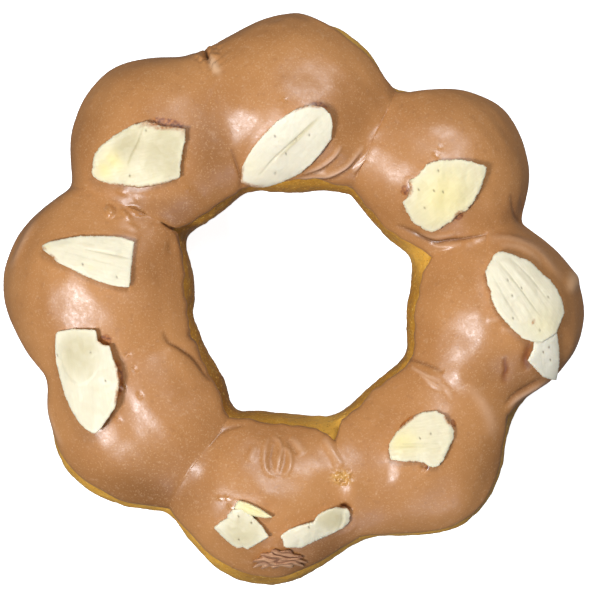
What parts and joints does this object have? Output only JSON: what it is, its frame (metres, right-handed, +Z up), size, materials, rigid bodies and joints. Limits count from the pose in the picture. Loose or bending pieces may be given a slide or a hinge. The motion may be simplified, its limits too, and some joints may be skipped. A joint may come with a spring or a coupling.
{
  "type": "mochi doughnut",
  "caption": "Ring doughnut of joined dough balls with a round hole, milk chocolate icing over its upper half, and almond slices on top.",
  "frame": {"origin": "middle of the footprint, on the surface the doughnut lies on", "axes": "+Z up out of the iced side, along the hole; +Y towards the largest ball with the whole slanting almond slice, +X to its right"},
  "size_m": [0.0953, 0.0939, 0.0285],
  "materials": {
    "dough": "golden fried dough crust, dull and slightly rough",
    "icing": "set milk chocolate icing, smooth and half glossy",
    "almond": "ivory sliced almond, dull with a faint grain",
    "almond_skin": "dry brown almond skin, wrinkled"
  },
  "bodies": {
    "root": {"dough_ring": "dough", "chocolate_icing": "icing", "almond_slice_top": "almond", "almond_slice_upper_right": "almond", "almond_slice_right": "almond", "almond_slice_under_right": "almond", "almond_slice_lower_right": "almond", "almond_slice_bottom_strip": "almond", "almond_slice_bottom_chip": "almond", "almond_slice_bottom_sliver": "almond", "almond_slice_lower_left": "almond", "almond_slice_left": "almond", "almond_slice_upper_left": "almond", "almond_skin_shred": "almond_skin"}
  },
  "joints": []
}
